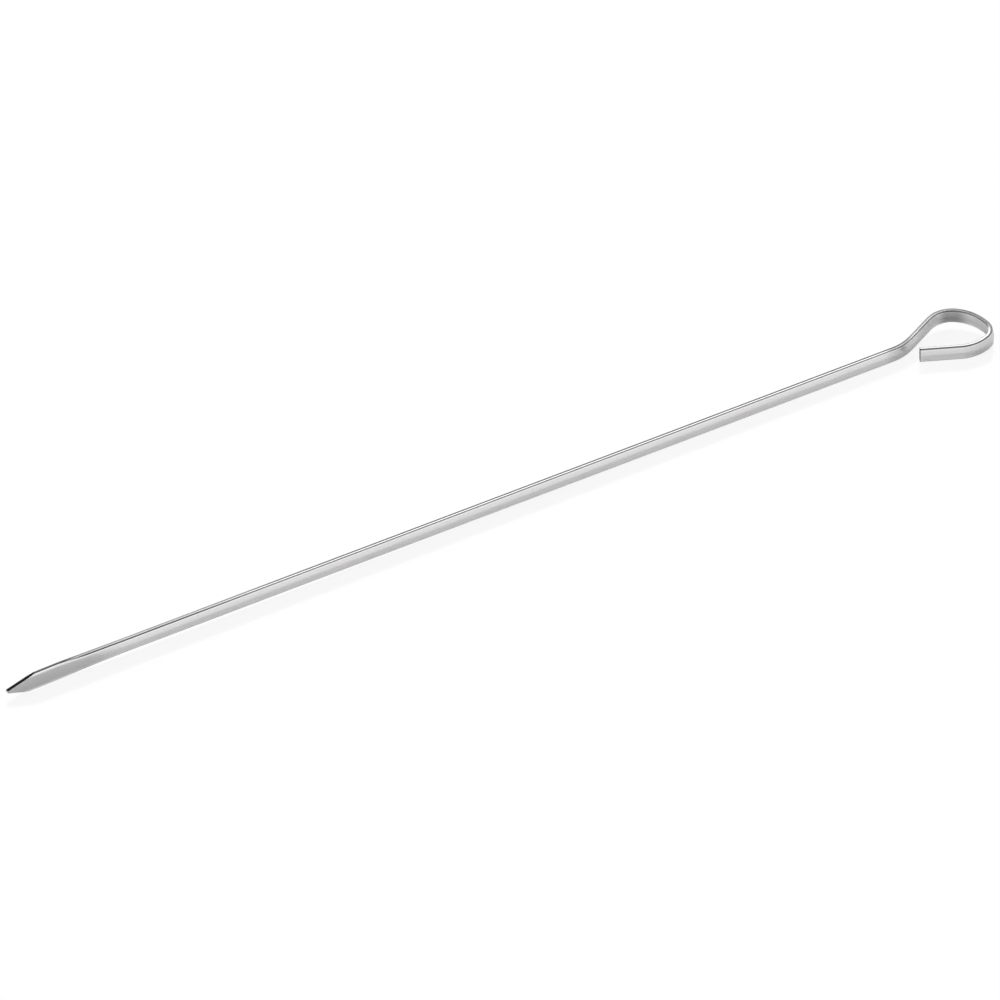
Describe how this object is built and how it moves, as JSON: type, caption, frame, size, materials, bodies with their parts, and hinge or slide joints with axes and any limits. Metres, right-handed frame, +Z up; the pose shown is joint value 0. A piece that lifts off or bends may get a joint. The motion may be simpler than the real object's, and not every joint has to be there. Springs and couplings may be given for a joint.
{
  "type": "kebab skewer",
  "caption": "Flat steel bar skewer with a pressed, pointed blade at one end and a teardrop eye bent at the other.",
  "frame": {"origin": "on the table, under the middle of the skewer's bounding box as it lies on its narrow edge", "axes": "+X from the point to the eye along the shank, +Y to the side the eye's neck bends to, +Z up"},
  "size_m": [0.3502, 0.0192, 0.0067],
  "materials": {
    "steel": "bright drawn stainless steel with fine lines along the bar"
  },
  "bodies": {
    "root": {"skewer": "steel"}
  },
  "joints": []
}
